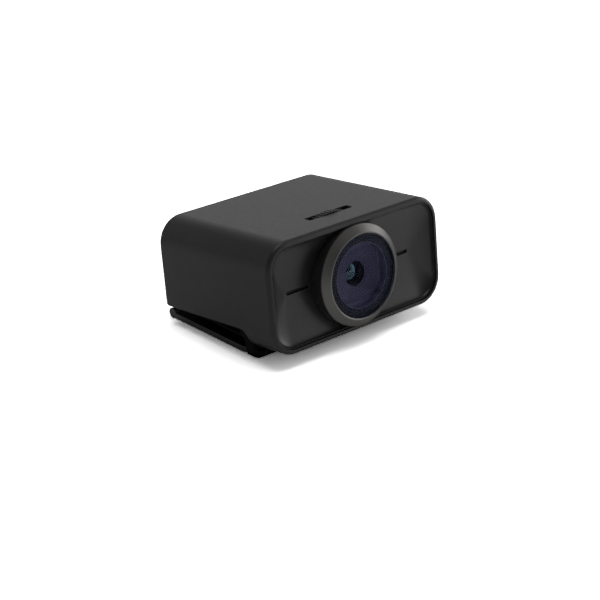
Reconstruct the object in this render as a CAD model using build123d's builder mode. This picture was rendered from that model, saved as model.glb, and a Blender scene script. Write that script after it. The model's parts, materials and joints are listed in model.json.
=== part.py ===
from build123d import *
import os
from math import acos, asin, cos, degrees, pi, radians, sin, sqrt, tan

# A compact conference webcam: a rounded box-shaped head with a dished front and a large
# lens ring, a thumb wheel on top that swings a privacy blade across the lens, and a
# folding screen clip under it.  Millimetres, +Z up, +Y towards the back, head level.
# The origin is the mouth of the tripod thread on the underside of the folded clip.
# "Depth" is measured back from the front rim and "height" up from the chin.

# Head
head_width = 103.0
head_height = 51.5
head_corner = 12.5
sleeve_length = 74.0
cover_thickness = 2.0
wall = 2.3
rim_round = 1.8
fit_gap = 0.1
chin_depth = 20.0
recess_height = 10.2
recess_round = 3.0
edge_round = 1.0
rear_round = 3.5

# Place of the head above the tripod thread
front_y = -48.0
chin_z = 1.15

# Front panel
panel_border = 1.0
valley_depth = 6.4
valley_length = 75.0
valley_width = 1.8
panel_skin = 1.7
slot_inner = 24.0
slot_outer = 37.0
slot_width = 1.5

# Lens turret and front glass
turret_radius = 23.3
turret_bore = 21.65
turret_front = -0.9
turret_back = 13.0
ring_radius = 23.2
ring_edge = -1.2
ring_front = -3.9
ring_mouth = 19.9
glass_radius = 19.5
glass_thickness = 1.2
hood_floor = 2.2

# Shutter gearing
gear_module = 0.8
ring_teeth = 48
blade_teeth = 21
pressure_angle = 20.0
tooth_play = 0.06
gear_front = 2.6
gear_width = 1.0
blade_radius = 6.2
blade_thickness = 0.6
blade_swing = 68.0
wheel_front = 14.8
wheel_width = 4.0
wheel_flange_width = 2.4
wheel_radius = 26.5
wheel_flange_radius = 23.0
wheel_slot_length = 25.8
ridge_pitch = 4.4
running_gap = 0.05

# Camera module
barrel_radius = 7.0
barrel_front = 4.2
barrel_back = 20.4
holder_back = 24.0

# Clip
clip_slope = 6.3
leg_half_width = 46.5
leg_thickness = 3.2
leg_front = -21.5
hinge_along = 31.0
knuckle = 2.4
hinge_pin = 1.2
base_half_width = 46.2
base_top = 9.4
base_bottom = 6.8
tilt_depth = 70.0
tilt_height = 7.4
tilt_knuckle = 2.3

os.makedirs("parts", exist_ok=True)

lens_height = head_height / 2
inner_width = head_width - 2 * wall
inner_height = head_height - 2 * wall
inner_corner = head_corner - wall
floor_top = recess_height + wall
ring_pitch_radius = gear_module * ring_teeth / 2
blade_pitch_radius = gear_module * blade_teeth / 2
pivot_offset = ring_pitch_radius - blade_pitch_radius
wheel_travel = blade_swing * blade_teeth / ring_teeth
tube_bore = ring_pitch_radius + 0.95
tube_radius = turret_bore - running_gap


def across(depth, height=0.0):
    """Upright plane facing the front, at a depth and with its origin at a height."""
    return Plane(origin=(0, front_y + depth, chin_z + height), x_dir=(1, 0, 0), z_dir=(0, -1, 0))


def on_lens(depth):
    """Upright plane facing the front with its origin on the lens axis."""
    return across(depth, lens_height)


def level(height):
    """Level plane at a height; its second coordinate is the depth."""
    return Plane(origin=(0, front_y, chin_z + height), x_dir=(1, 0, 0), z_dir=(0, 0, 1))


def underside(height):
    """Level plane facing down; its second coordinate is minus the depth."""
    return Plane(origin=(0, front_y, chin_z + height), x_dir=(1, 0, 0), z_dir=(0, 0, -1))


def beside(x=0.0):
    """Side plane; its coordinates are depth and height."""
    return Plane(origin=(x, front_y, chin_z), x_dir=(0, 1, 0), z_dir=(1, 0, 0))


lens_axis = Axis((0, front_y, chin_z + lens_height), (0, 1, 0))
lens_side = Plane(origin=(0, front_y, chin_z + lens_height), x_dir=(0, 1, 0), z_dir=(1, 0, 0))

slope_cos = cos(radians(clip_slope))
slope_sin = sin(radians(clip_slope))
leg_plane = Plane(origin=(0, 0, 0), x_dir=(1, 0, 0), z_dir=(0, -slope_sin, slope_cos))


def leg_side(x=0.0):
    """Side plane of the leg; its coordinates run along the leg and up from its underside."""
    return Plane(origin=(x, 0, 0), x_dir=(0, slope_cos, slope_sin), z_dir=(1, 0, 0))


# Fold hinge in depth and height, worked out from its place on the leg
fold_depth = hinge_along * slope_cos - knuckle * slope_sin - front_y
fold_height = hinge_along * slope_sin + knuckle * slope_cos - chin_z


# ---------------------------------------------------------------- body sleeve
case_screw_x = 37.0
case_screw_depths = (26.0, 50.0)
case_screws_at = [(x, d) for x in (-case_screw_x, case_screw_x) for d in case_screw_depths]
bracket_screws_at = [(x, d) for x in (-9.0, 9.0) for d in (tilt_depth - 6.5, tilt_depth)]
lug_inner = 13.8
lug_outer = 17.2
lug_slack = 0.3
rail_width = 2.0
rail_front = 4.6
rail_thickness = 1.6
rail_height = 24.0

rear_depth = sleeve_length + cover_thickness
rear_slack = rear_round * (1 - sqrt(0.5))

# Space outside the rounded lower rear corner of the head
with BuildPart() as rear_corner:
    with BuildSketch(beside()):
        with BuildLine():
            ThreePointArc(
                (rear_depth - rear_round, recess_height),
                (rear_depth - rear_slack, recess_height + rear_slack),
                (rear_depth, recess_height + rear_round),
            )
            Line((rear_depth, recess_height + rear_round), (rear_depth + 2, recess_height + rear_round))
            Line((rear_depth + 2, recess_height + rear_round), (rear_depth + 2, recess_height - 2))
            Line((rear_depth + 2, recess_height - 2), (rear_depth - rear_round, recess_height - 2))
            Line((rear_depth - rear_round, recess_height - 2), (rear_depth - rear_round, recess_height))
        make_face()
    extrude(amount=head_width, both=True)

with BuildPart() as body_sleeve:
    with BuildSketch(across(sleeve_length, lens_height)):
        RectangleRounded(head_width, head_height, head_corner)
    extrude(amount=sleeve_length)
    fillet(body_sleeve.faces().sort_by(Axis.Y)[0].edges(), rim_round)
    # Recess under the head that the folded clip lies in
    with BuildSketch(beside()):
        with BuildLine():
            Line((chin_depth, -5), (chin_depth, recess_height - recess_round))
            RadiusArc(
                (chin_depth, recess_height - recess_round),
                (chin_depth + recess_round, recess_height),
                recess_round,
            )
            Line((chin_depth + recess_round, recess_height), (sleeve_length + 5, recess_height))
            Line((sleeve_length + 5, recess_height), (sleeve_length + 5, -5))
            Line((sleeve_length + 5, -5), (chin_depth, -5))
        make_face()
    extrude(amount=head_width, both=True, mode=Mode.SUBTRACT)
    # Soften the sleeve's outer edge all along the recess
    step_edges = body_sleeve.edges().filter_by_position(
        Axis.Y, front_y + chin_depth - 0.01, front_y + chin_depth + 0.01
    )
    below_round = chin_z + recess_height - recess_round - 0.01
    fillet(step_edges.filter_by_position(Axis.Z, chin_z - 1, below_round), edge_round)
    # Chamber above the clip recess, open at both ends
    with BuildSketch(across(sleeve_length, lens_height)):
        RectangleRounded(inner_width, inner_height, inner_corner)
        with Locations((0, floor_top - lens_height - head_height)):
            Rectangle(head_width, 2 * head_height, mode=Mode.SUBTRACT)
    extrude(amount=sleeve_length, mode=Mode.SUBTRACT)
    # Full-height chamber behind the front panel
    with BuildSketch(across(chin_depth - wall, lens_height)):
        RectangleRounded(inner_width, inner_height, inner_corner)
    extrude(amount=chin_depth - wall, mode=Mode.SUBTRACT)
    # Rails that the front panel rests on
    with BuildSketch(across(rail_front + rail_thickness, lens_height)):
        with Locations((-(inner_width - rail_width) / 2, 0), ((inner_width - rail_width) / 2, 0)):
            Rectangle(rail_width, rail_height)
    extrude(amount=rail_thickness)
    # Slot for the thumb wheel
    with BuildSketch(level(head_height)):
        with Locations((0, wheel_front + wheel_width / 2)):
            RectangleRounded(wheel_slot_length, wheel_width + 0.7, 1.1)
    extrude(amount=-2 * wall, mode=Mode.SUBTRACT)
    # Screw holes in the recess ceiling
    with Locations(underside(recess_height)):
        with Locations(*[(x, -d) for x, d in case_screws_at]):
            CounterBoreHole(radius=1.2, counter_bore_radius=2.2, counter_bore_depth=1.1, depth=4)
    with Locations(level(floor_top)):
        with Locations(*bracket_screws_at):
            Hole(radius=0.95, depth=1.6)
    # Openings for the tilt bracket's lugs
    with BuildSketch(level(recess_height)):
        for side in (-1, 1):
            with Locations((side * (lug_inner + lug_outer) / 2, tilt_depth)):
                Rectangle(lug_outer - lug_inner + 2 * lug_slack, 2 * tilt_knuckle + 2 * lug_slack)
    extrude(amount=wall, mode=Mode.SUBTRACT)
    # Rounded lower rear corner
    add(rear_corner.part, mode=Mode.SUBTRACT)

body_sleeve.part.label = "body_sleeve"
export_step(body_sleeve.part, "parts/body_sleeve.step")


# ----------------------------------------------------------------- rear cover
board_top = 19.65
port_width = 8.94
port_height = 3.26
port_centre = board_top + port_height / 2 + 0.05
spigot_length = 3.0
spigot_wall = 1.6

with BuildPart() as rear_cover:
    with BuildSketch(across(sleeve_length + cover_thickness, lens_height)):
        RectangleRounded(head_width, head_height, head_corner)
        with Locations((0, recess_height - lens_height - head_height)):
            Rectangle(2 * head_width, 2 * head_height, mode=Mode.SUBTRACT)
    extrude(amount=cover_thickness)
    fillet(rear_cover.faces().sort_by(Axis.Y)[-1].edges(), 1.2)
    # Spigot inside the sleeve
    with BuildSketch(across(sleeve_length, lens_height)):
        RectangleRounded(inner_width - 2 * fit_gap, inner_height - 2 * fit_gap, inner_corner)
        with Locations((0, floor_top + fit_gap - lens_height - head_height)):
            Rectangle(2 * head_width, 2 * head_height, mode=Mode.SUBTRACT)
        offset(amount=-spigot_wall, mode=Mode.SUBTRACT)
    extrude(amount=spigot_length)
    # Clear the spigot over the tilt bracket
    with BuildSketch(level(floor_top)):
        with Locations((0, sleeve_length - spigot_length / 2)):
            Rectangle(44, spigot_length)
    extrude(amount=3, mode=Mode.SUBTRACT)
    # Opening for the USB-C plug, with a shallow finger recess round it
    with BuildSketch(across(sleeve_length + cover_thickness, port_centre)):
        SlotOverall(port_width + 0.4, port_height + 0.4)
    extrude(amount=2 * cover_thickness, mode=Mode.SUBTRACT)
    with BuildSketch(across(sleeve_length + cover_thickness, port_centre)):
        SlotOverall(port_width + 5, port_height + 4)
    extrude(amount=0.5, mode=Mode.SUBTRACT)
    # Rounded lower rear corner
    add(rear_corner.part, mode=Mode.SUBTRACT)

rear_cover.part.label = "rear_cover"
export_step(rear_cover.part, "parts/rear_cover.step")


# ---------------------------------------------------------------- front panel
panel_width = inner_width - 2 * fit_gap
panel_height = inner_height - 2 * fit_gap
panel_corner = inner_corner - fit_gap
panel_back = rail_front - 0.05
dish_edge = 0.6
dish_steps = ((0.1, 3.0), (0.4, 4.7))


def dish_section(share, deeper=0.0):
    """Outline of the dish at a share of the way from its edge (0) to the valley line (1)."""
    edge_width = panel_width - 2 * (dish_edge + deeper)
    edge_height = panel_height - 2 * (dish_edge + deeper)
    valley_corner = valley_width / 2 - 0.05
    return RectangleRounded(
        edge_width + (valley_length - edge_width) * share,
        edge_height + (valley_width - edge_height) * share,
        panel_corner - dish_edge + (valley_corner - panel_corner + dish_edge) * share,
    )


def dish(sink, deeper):
    """Solid that fills the front dish: a hollow hipped roof pointing backwards."""
    stations = [(0.0, panel_border), *dish_steps, (1.0, valley_depth)]
    with BuildPart() as roof:
        for near, far in zip(stations[:-1], stations[1:]):
            for share, depth in (near, far):
                with BuildSketch(on_lens(depth + sink)):
                    dish_section(share, deeper)
            loft(ruled=True)
    return roof.part


front_dish = dish(0, 0)
back_skin = dish(panel_skin, 0.9)

with BuildPart() as front_panel:
    with BuildSketch(on_lens(panel_back)):
        RectangleRounded(panel_width, panel_height, panel_corner)
    extrude(amount=panel_back - panel_border)
    # Hollow the back, leaving a skin behind the dish and a wall round the edge
    with BuildSketch(on_lens(panel_back)):
        RectangleRounded(panel_width - 3, panel_height - 3, panel_corner - 1.5)
    extrude(amount=panel_back - panel_border - panel_skin, mode=Mode.SUBTRACT)
    add(back_skin)
    add(front_dish, mode=Mode.SUBTRACT)
    # Opening of the dish, a little in from the panel's edge
    with BuildSketch(on_lens(panel_border)):
        dish_section(0)
    extrude(amount=1, mode=Mode.SUBTRACT)
    # Lens turret
    with BuildSketch(on_lens(turret_back)):
        Circle(turret_radius)
    extrude(amount=turret_back - turret_front)
    with BuildSketch(on_lens(turret_back)):
        Circle(turret_bore)
    extrude(amount=2 * turret_back, mode=Mode.SUBTRACT)
    # Microphone slots
    with BuildSketch(on_lens(valley_depth + panel_skin + 1)):
        for side in (-1, 1):
            with Locations((side * (slot_inner + slot_outer) / 2, 0)):
                SlotOverall(slot_outer - slot_inner, slot_width)
    extrude(amount=2 * valley_depth, mode=Mode.SUBTRACT)

front_panel.part.label = "front_panel"
export_step(front_panel.part, "parts/front_panel.step")


# ----------------------------------------------------------- front glass group
def ring_solid(outer, inner, front, back):
    """Plain ring about the lens axis, from one depth to another."""
    with BuildPart() as solid:
        with BuildSketch(on_lens(back)):
            Circle(outer)
            if inner > 0:
                Circle(inner, mode=Mode.SUBTRACT)
        extrude(amount=back - front)
    return solid.part


glass_front = ring_front + 0.25
glass_back = glass_front + glass_thickness
hood_front = glass_back + 0.05
glass_seat = glass_radius + 0.05

with BuildPart() as lens_ring:
    with BuildSketch(lens_side):
        with BuildLine():
            Polyline(
                (ring_edge, ring_radius),
                (ring_front, ring_mouth),
                (glass_front - 0.05, ring_mouth - 0.6),
                (glass_front - 0.05, glass_seat),
                (1.4, glass_seat),
                (1.4, turret_bore - 0.05),
                (turret_front, turret_bore - 0.05),
                (turret_front, ring_radius),
                close=True,
            )
        make_face()
    revolve(axis=lens_axis)
    fillet(lens_ring.edges().group_by(Axis.Y)[0], 0.1)

lens_ring.part.label = "lens_ring"
export_step(lens_ring.part, "parts/lens_ring.step")

with BuildPart() as cover_glass:
    add(ring_solid(glass_radius, 0, glass_front, glass_back))
    chamfer(cover_glass.edges(), 0.15)

cover_glass.part.label = "cover_glass"
export_step(cover_glass.part, "parts/cover_glass.step")

hood_mouth = 15.0
hood_step = 0.3
hood_eye = blade_radius - 0.5

with BuildPart() as lens_hood:
    add(ring_solid(glass_radius, 0, hood_front, 1.3))
    add(ring_solid(glass_radius - 1.4, 0, 1.3, hood_floor))
    # Round mouth, then a flare that follows the picture's rounded-rectangle field of view
    with BuildSketch(on_lens(hood_step)):
        Circle(hood_mouth)
    extrude(amount=hood_step - hood_front + 0.5, mode=Mode.SUBTRACT)
    with BuildSketch(on_lens(hood_step)):
        RectangleRounded(25.0, 20.0, 6.0)
    with BuildSketch(on_lens(hood_floor)):
        RectangleRounded(2 * hood_eye, 2 * hood_eye, hood_eye - 0.05)
    loft(mode=Mode.SUBTRACT)

lens_hood.part.label = "lens_hood"
export_step(lens_hood.part, "parts/lens_hood.step")


# --------------------------------------------------------------------- shutter
def involute_gear(teeth, tip_radius, root_radius, play, first=0, count=None):
    """Involute gear outline, or a run of its teeth, with a tooth centred on +X."""
    pitch_radius = gear_module * teeth / 2
    base_radius = pitch_radius * cos(radians(pressure_angle))
    tooth_angle = 360 / teeth
    turn = tan(radians(pressure_angle)) - radians(pressure_angle)
    half_tooth = pi / (2 * teeth) - play / pitch_radius + turn

    def flank(radius):
        roll = acos(min(1, base_radius / radius))
        half = half_tooth - (tan(roll) - roll)
        return (radius * cos(half), radius * sin(half))

    start = max(base_radius, root_radius)
    steps = 5
    upper = [flank(start + (tip_radius - start) * i / steps) for i in range(steps + 1)]
    foot = ((root_radius - 0.1) * cos(half_tooth), (root_radius - 0.1) * sin(half_tooth))
    upper = [foot] + upper
    lower = [(x, -y) for x, y in reversed(upper)]
    with BuildSketch() as outline:
        if count is None:
            Circle(root_radius)
        for index in range(teeth if count is None else count):
            with Locations(Rotation(0, 0, (first + index) * tooth_angle)):
                Polygon(*upper, *lower, align=None)
    return outline.sketch


def sector(inner, outer, start, end):
    """Flat ring sector between two angles, in degrees from +X."""
    with BuildSketch() as outline:
        with BuildLine():
            JernArc((outer * cos(radians(start)), outer * sin(radians(start))),
                    (-sin(radians(start)), cos(radians(start))), outer, end - start)
            JernArc((inner * cos(radians(start)), inner * sin(radians(start))),
                    (-sin(radians(start)), cos(radians(start))), inner, end - start)
            Line((inner * cos(radians(start)), inner * sin(radians(start))),
                 (outer * cos(radians(start)), outer * sin(radians(start))))
            Line((inner * cos(radians(end)), inner * sin(radians(end))),
                 (outer * cos(radians(end)), outer * sin(radians(end))))
        make_face()
    return outline.sketch


gear_back = gear_front + gear_width
wheel_back = wheel_front + wheel_width
slot_half_angle = degrees(acos((lens_height - wall) / wheel_radius))
rim_lead = slot_half_angle + 4
rim_start = 90 - rim_lead - wheel_travel
rim_end = 90 + rim_lead
ring_tip_radius = ring_pitch_radius - 0.7
teeth_margin = 16
ring_sector_start = -wheel_travel - teeth_margin
ring_sector_end = teeth_margin
ridge_depth = 0.5

with BuildPart() as shutter_wheel:
    # Tube that turns inside the lens turret
    add(ring_solid(tube_radius, tube_bore, gear_front + 0.1, wheel_front + 0.1))
    add(ring_solid(wheel_flange_radius, tube_bore, wheel_front, wheel_front + wheel_flange_width))
    # Thick rim that shows through the slot, with finger ridges
    with BuildSketch(on_lens(wheel_back)):
        add(sector(wheel_flange_radius - 1.0, wheel_radius, rim_start, rim_end))
        ridges = int((rim_end - rim_start) / ridge_pitch)
        with PolarLocations(wheel_radius + 0.25, ridges, rim_start + 2, (ridges - 1) * ridge_pitch):
            Circle(0.25 + ridge_depth, mode=Mode.SUBTRACT)
    extrude(amount=wheel_width)
    # Internal gear that swings the blade
    with BuildSketch(on_lens(gear_back)):
        add(sector(ring_tip_radius, tube_bore + 0.4, ring_sector_start, ring_sector_end))
        add(involute_gear(ring_teeth, tube_bore, ring_tip_radius, -tooth_play), mode=Mode.SUBTRACT)
    extrude(amount=gear_width - 0.1)

shutter_wheel.part.label = "shutter_wheel"
export_step(shutter_wheel.part, "parts/shutter_wheel.step")

pin_radius = 0.9
hub_radius = 2.2
blade_tip_radius = blade_pitch_radius + 0.65
blade_root_radius = blade_pitch_radius - 1.0
open_x = pivot_offset * (1 - cos(radians(blade_swing)))
open_z = pivot_offset * sin(radians(blade_swing))
blade_back = gear_front + 0.1 + blade_thickness
sector_teeth = 6

with BuildPart() as shutter_blade:
    # Cover disc in its open place, and the arm that carries it
    with BuildSketch(on_lens(blade_back)):
        with Locations((open_x, open_z)):
            Circle(blade_radius)
        with Locations((pivot_offset, 0)):
            Circle(hub_radius)
        with BuildLine():
            Polyline(
                (pivot_offset - hub_radius, 0),
                (pivot_offset + hub_radius, 0),
                (open_x + blade_radius - 1.2, open_z),
                (open_x - 1.0, open_z - blade_radius + 1.6),
                close=True,
            )
        make_face()
    extrude(amount=blade_thickness)
    # Hub and toothed sector
    with BuildSketch(on_lens(gear_back)):
        with Locations((pivot_offset, 0)):
            Circle(hub_radius)
            first_angle = -(sector_teeth - 1.4) * 360 / blade_teeth
            add(sector(1.0, blade_root_radius, first_angle, 360 / blade_teeth))
            add(involute_gear(blade_teeth, blade_tip_radius, blade_root_radius, tooth_play,
                              first=2 - sector_teeth, count=sector_teeth))
    extrude(amount=gear_width - 0.1)
    with BuildSketch(on_lens(gear_back)):
        with Locations((pivot_offset, 0)):
            Circle(pin_radius + running_gap)
    extrude(amount=2, mode=Mode.SUBTRACT)

shutter_blade.part.label = "shutter_blade"
export_step(shutter_blade.part, "parts/shutter_blade.step")

base_plate_front = gear_back + 0.3
base_plate_back = base_plate_front + 1.2
base_plate_radius = tube_bore - 0.3
base_screw_angles = (150.0, 270.0, 30.0)
base_screw_radius = 12.5
screw_sink = 0.35
base_screws_at = [
    (base_screw_radius * cos(radians(angle)), base_screw_radius * sin(radians(angle)))
    for angle in base_screw_angles
]

with BuildPart() as shutter_base:
    add(ring_solid(base_plate_radius, barrel_radius + 0.3, base_plate_front, base_plate_back))
    with BuildSketch(on_lens(base_plate_back)):
        with Locations((pivot_offset, 0)):
            Circle(pin_radius + 0.01)
        with Locations(*base_screws_at):
            Circle(0.85)
    extrude(amount=3, mode=Mode.SUBTRACT)
    # Recesses that keep the screw heads below the blade's sweep
    with BuildSketch(on_lens(base_plate_front + screw_sink)):
        with Locations(*base_screws_at):
            Circle(1.5)
    extrude(amount=2 * screw_sink, mode=Mode.SUBTRACT)
    # Boss under the blade's hub
    with BuildSketch(on_lens(base_plate_front)):
        with Locations((pivot_offset, 0)):
            Circle(hub_radius)
            Circle(pin_radius + 0.01, mode=Mode.SUBTRACT)
    extrude(amount=0.25)

shutter_base.part.label = "shutter_base"
export_step(shutter_base.part, "parts/shutter_base.step")

with BuildPart() as blade_pin:
    with BuildSketch(on_lens(base_plate_back)):
        with Locations((pivot_offset, 0)):
            Circle(pin_radius)
    extrude(amount=base_plate_back - hood_floor - 0.08)

blade_pin.part.label = "blade_pin"
export_step(blade_pin.part, "parts/blade_pin.step")


# --------------------------------------------------------------- camera module
holder_flange_back = base_plate_back + 1.5
holder_radius = 9.5
holder_base_front = 21.0
holder_base_width = 46.0
holder_base_height = 25.0
holder_screw_x = 20.5
holder_screws_at = [(x, z) for x in (-holder_screw_x, holder_screw_x) for z in (-4.0, 4.0)]
screw_gap = 0.05
upright_front = 26.0
upright_thickness = 1.5
sensor_pocket = 12.0

with BuildPart() as lens_holder:
    add(ring_solid(base_plate_radius - 1.0, barrel_radius + screw_gap, base_plate_back, holder_flange_back))
    add(ring_solid(holder_radius, barrel_radius + screw_gap, base_plate_back, holder_base_front + 1))
    with BuildSketch(on_lens(holder_back)):
        RectangleRounded(holder_base_width, holder_base_height, 2)
    extrude(amount=holder_back - holder_base_front)
    # Feet that stand on the chassis beside the sensor board
    with BuildSketch(on_lens(upright_front)):
        with Locations((-holder_screw_x, 0), (holder_screw_x, 0)):
            Rectangle(4.6, 14)
    extrude(amount=upright_front - holder_back)
    # Light path: the barrel's bore, then the filter seat and the sensor pocket
    with BuildSketch(on_lens(holder_back)):
        Circle(4.2)
    extrude(amount=holder_back - holder_base_front + 0.5, mode=Mode.SUBTRACT)
    with BuildSketch(on_lens(holder_base_front)):
        Circle(barrel_radius + screw_gap)
    extrude(amount=2, mode=Mode.SUBTRACT)
    with BuildSketch(on_lens(holder_back)):
        Rectangle(sensor_pocket, sensor_pocket)
    extrude(amount=2.0, mode=Mode.SUBTRACT)
    # Screw holes
    with BuildSketch(on_lens(upright_front)):
        with Locations(*holder_screws_at):
            Circle(0.85)
    extrude(amount=8, mode=Mode.SUBTRACT)
    with BuildSketch(on_lens(holder_flange_back)):
        with Locations(*base_screws_at):
            Circle(0.85)
    extrude(amount=3, mode=Mode.SUBTRACT)

lens_holder.part.label = "lens_holder"
export_step(lens_holder.part, "parts/lens_holder.step")

front_lens_radius = 5.6
inner_lens_radius = 4.4

with BuildPart() as lens_barrel:
    with BuildSketch(lens_side):
        with BuildLine():
            Polyline(
                (barrel_front, barrel_radius),
                (barrel_front, front_lens_radius + 0.4),
                (barrel_front + 1.0, front_lens_radius + 0.03),
                (barrel_front + 3.6, front_lens_radius + 0.03),
                (barrel_front + 3.6, inner_lens_radius + 0.03),
                (barrel_back - 1.0, inner_lens_radius + 0.03),
                (barrel_back - 1.0, inner_lens_radius - 0.8),
                (barrel_back, inner_lens_radius - 0.8),
                (barrel_back, barrel_radius),
                close=True,
            )
        make_face()
    revolve(axis=lens_axis)

lens_barrel.part.label = "lens_barrel"
export_step(lens_barrel.part, "parts/lens_barrel.step")


def lens_element(radius, front, back, front_bow, back_bow):
    """Lens about the lens axis; a bow is how far forwards a face's centre stands."""
    with BuildPart() as element:
        with BuildSketch(lens_side):
            with BuildLine():
                Line((front, radius), (back, radius))
                Line((front - front_bow, 0), (back - back_bow, 0))
                for edge, bow in ((front, front_bow), (back, back_bow)):
                    sphere = (radius**2 + bow**2) / (2 * bow)
                    half_angle = asin(radius / sphere) / 2
                    middle = (edge - bow + sphere * (1 - cos(half_angle)), sphere * sin(half_angle))
                    ThreePointArc((edge, radius), middle, (edge - bow, 0))
            make_face()
        revolve(axis=lens_axis)
    return element.part


with BuildPart() as front_lens:
    add(lens_element(front_lens_radius, barrel_front + 1.3, barrel_front + 2.6, 1.6, 0.9))

front_lens.part.label = "front_lens"
export_step(front_lens.part, "parts/front_lens.step")

with BuildPart() as aperture_stop:
    add(ring_solid(front_lens_radius, 1.9, barrel_front + 2.9, barrel_front + 3.5))

aperture_stop.part.label = "aperture_stop"
export_step(aperture_stop.part, "parts/aperture_stop.step")

with BuildPart() as middle_lens:
    add(lens_element(inner_lens_radius, 10.5, 13.0, 0.9, 0.6))

middle_lens.part.label = "middle_lens"
export_step(middle_lens.part, "parts/middle_lens.step")

with BuildPart() as lens_spacer:
    add(ring_solid(inner_lens_radius, inner_lens_radius - 0.8, 13.0, 15.9))

lens_spacer.part.label = "lens_spacer"
export_step(lens_spacer.part, "parts/lens_spacer.step")

with BuildPart() as rear_lens:
    add(lens_element(inner_lens_radius, 16.2, barrel_back - 1.0, 0.7, 0.5))

rear_lens.part.label = "rear_lens"
export_step(rear_lens.part, "parts/rear_lens.step")

with BuildPart() as ir_filter:
    with BuildSketch(on_lens(holder_back - 1.6)):
        Rectangle(10.5, 10.5)
    extrude(amount=0.4)

ir_filter.part.label = "ir_filter"
export_step(ir_filter.part, "parts/ir_filter.step")

with BuildPart() as image_sensor:
    with BuildSketch(on_lens(holder_back)):
        Rectangle(9.5, 8.4)
    extrude(amount=1.1)

image_sensor.part.label = "image_sensor"
export_step(image_sensor.part, "parts/image_sensor.step")

sensor_board_back = holder_back + 1.0

with BuildPart() as sensor_board:
    with BuildSketch(on_lens(sensor_board_back)):
        RectangleRounded(34, 22, 1.5)
    extrude(amount=sensor_board_back - holder_back)

sensor_board.part.label = "sensor_board"
export_step(sensor_board.part, "parts/sensor_board.step")


# --------------------------------------------------------------------- chassis
chassis_floor = floor_top + 0.1
chassis_sheet = 1.5
chassis_half_width = 42.0
chassis_back = 56.5
board_thickness = 1.6
board_bottom = board_top - board_thickness
board_half_width = 40.0
board_front = 31.0
board_back = 69.0
board_screws_at = [(x, d) for x in (-31.0, 31.0) for d in (35.0, 53.0)]
post_radius = 2.4
upright_height = 38.5
flex_width = 10.0
flex_height = 23.0

with BuildPart() as chassis:
    with BuildSketch(level(chassis_floor)):
        with Locations((0, (upright_front + chassis_back) / 2)):
            Rectangle(2 * chassis_half_width, chassis_back - upright_front)
        with Locations(*[(x, d) for x, d in case_screws_at if d < upright_front + 1]):
            Circle(post_radius + 0.6)
    extrude(amount=chassis_sheet)
    # Upright that carries the camera module
    with BuildSketch(across(upright_front + upright_thickness, chassis_floor)):
        with Locations((0, (upright_height - chassis_floor) / 2)):
            Rectangle(52, upright_height - chassis_floor)
        with Locations((0, flex_height - chassis_floor)):
            Rectangle(flex_width + 6, 7, mode=Mode.SUBTRACT)
    extrude(amount=upright_thickness)
    # Posts for the case screws and under the main board
    with BuildSketch(level(chassis_floor)):
        with Locations(*case_screws_at):
            Circle(post_radius)
    extrude(amount=4.4)
    with BuildSketch(level(chassis_floor)):
        with Locations(*board_screws_at):
            Circle(post_radius)
    extrude(amount=board_bottom - chassis_floor - 0.02)
    with BuildSketch(level(chassis_floor)):
        with Locations(*case_screws_at):
            Circle(1.05)
    extrude(amount=4, mode=Mode.SUBTRACT)
    with BuildSketch(level(board_bottom)):
        with Locations(*board_screws_at):
            Circle(1.05)
    extrude(amount=-4, mode=Mode.SUBTRACT)
    with BuildSketch(on_lens(upright_front + upright_thickness)):
        with Locations(*holder_screws_at):
            Circle(1.05)
    extrude(amount=upright_thickness, mode=Mode.SUBTRACT)

chassis.part.label = "chassis"
export_step(chassis.part, "parts/chassis.step")


def screw(plane, places, shank_radius, shank_length, head_radius=1.9, head_height=1.0):
    """Pan-head screws: heads start on the plane and stand out along it, shanks go in."""
    with BuildPart() as screws:
        with BuildSketch(plane):
            with Locations(*places):
                Circle(head_radius)
        extrude(amount=head_height)
        with BuildSketch(plane):
            with Locations(*places):
                Circle(shank_radius)
        extrude(amount=-shank_length)
        with BuildSketch(plane.offset(head_height)):
            with Locations(*places):
                RegularPolygon(0.75, 6)
        extrude(amount=-0.6, mode=Mode.SUBTRACT)
    return screws.part


with BuildPart() as case_screws:
    add(screw(underside(recess_height + 1.1), [(x, -d) for x, d in case_screws_at], 1.0, 5.0))

case_screws.part.label = "case_screws"
export_step(case_screws.part, "parts/case_screws.step")


with BuildPart() as holder_screws:
    add(screw(
        Plane(
            origin=(0, front_y + upright_front + upright_thickness, chin_z + lens_height),
            x_dir=(1, 0, 0),
            z_dir=(0, 1, 0),
        ),
        [(x, -z) for x, z in holder_screws_at],
        0.8,
        5.5,
    ))

holder_screws.part.label = "holder_screws"
export_step(holder_screws.part, "parts/holder_screws.step")

with BuildPart() as shutter_base_screws:
    add(screw(
        on_lens(base_plate_front + screw_sink),
        base_screws_at,
        0.8,
        2.2,
        head_radius=1.4,
        head_height=0.3,
    ))

shutter_base_screws.part.label = "shutter_base_screws"
export_step(shutter_base_screws.part, "parts/shutter_base_screws.step")


# ----------------------------------------------------------------- electronics
with BuildPart() as main_board:
    with BuildSketch(level(board_bottom)):
        with Locations((0, (board_front + board_back) / 2)):
            RectangleRounded(2 * board_half_width, board_back - board_front, 1.5)
        with Locations(*board_screws_at):
            Circle(1.1, mode=Mode.SUBTRACT)
    extrude(amount=board_thickness)

main_board.part.label = "main_board"
export_step(main_board.part, "parts/main_board.step")

with BuildPart() as main_board_screws:
    add(screw(level(board_top), board_screws_at, 1.0, 4.5))

main_board_screws.part.label = "main_board_screws"
export_step(main_board_screws.part, "parts/main_board_screws.step")


def block_on_board(width, length, thickness, x, depth, bottom=board_top):
    """Plain package standing on the main board."""
    with BuildPart() as block:
        with BuildSketch(level(bottom)):
            with Locations((x, depth)):
                RectangleRounded(width, length, 0.4)
        extrude(amount=thickness)
    return block.part


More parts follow.
